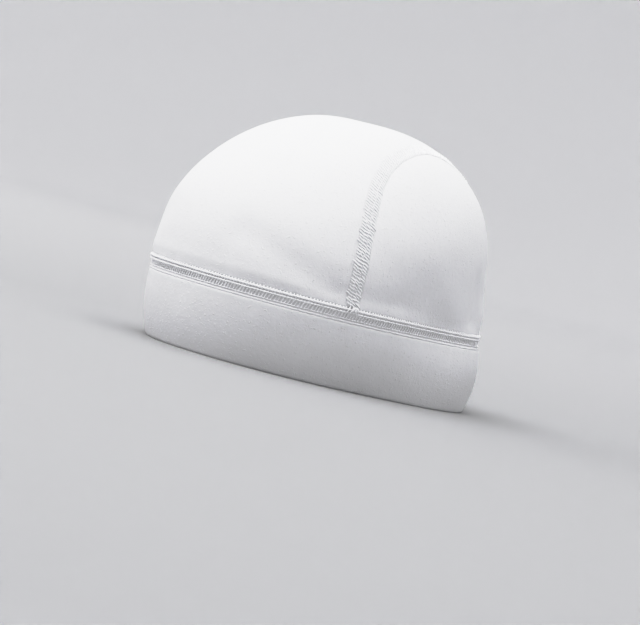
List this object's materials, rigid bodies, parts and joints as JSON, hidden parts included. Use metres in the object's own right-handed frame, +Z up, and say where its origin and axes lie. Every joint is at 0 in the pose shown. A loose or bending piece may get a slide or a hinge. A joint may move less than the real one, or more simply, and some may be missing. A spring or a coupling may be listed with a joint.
{
  "type": "skull cap",
  "caption": "Close-fitting stretch knit skull cap: a dome crown of sewn panels with arched side seams above a deep turned double band.",
  "frame": {"origin": "on the surface that the rim rests on, under the middle of the cap", "axes": "+Z up, -Y toward the wearer's front, +X toward the wearer's left"},
  "size_m": [0.156, 0.1924, 0.1365],
  "materials": {
    "crown_cloth": "matte, brushed stretch knit",
    "band_cloth": "matte, brushed stretch knit, double layer",
    "seam_thread": "matte looped thread in a flatlock seam"
  },
  "bodies": {
    "root": {"crown_center_panel": "crown_cloth", "side_panel_left": "crown_cloth", "side_panel_right": "crown_cloth", "side_seam_left": "seam_thread", "side_seam_right": "seam_thread", "band_seam": "seam_thread", "band": "band_cloth"}
  },
  "joints": []
}
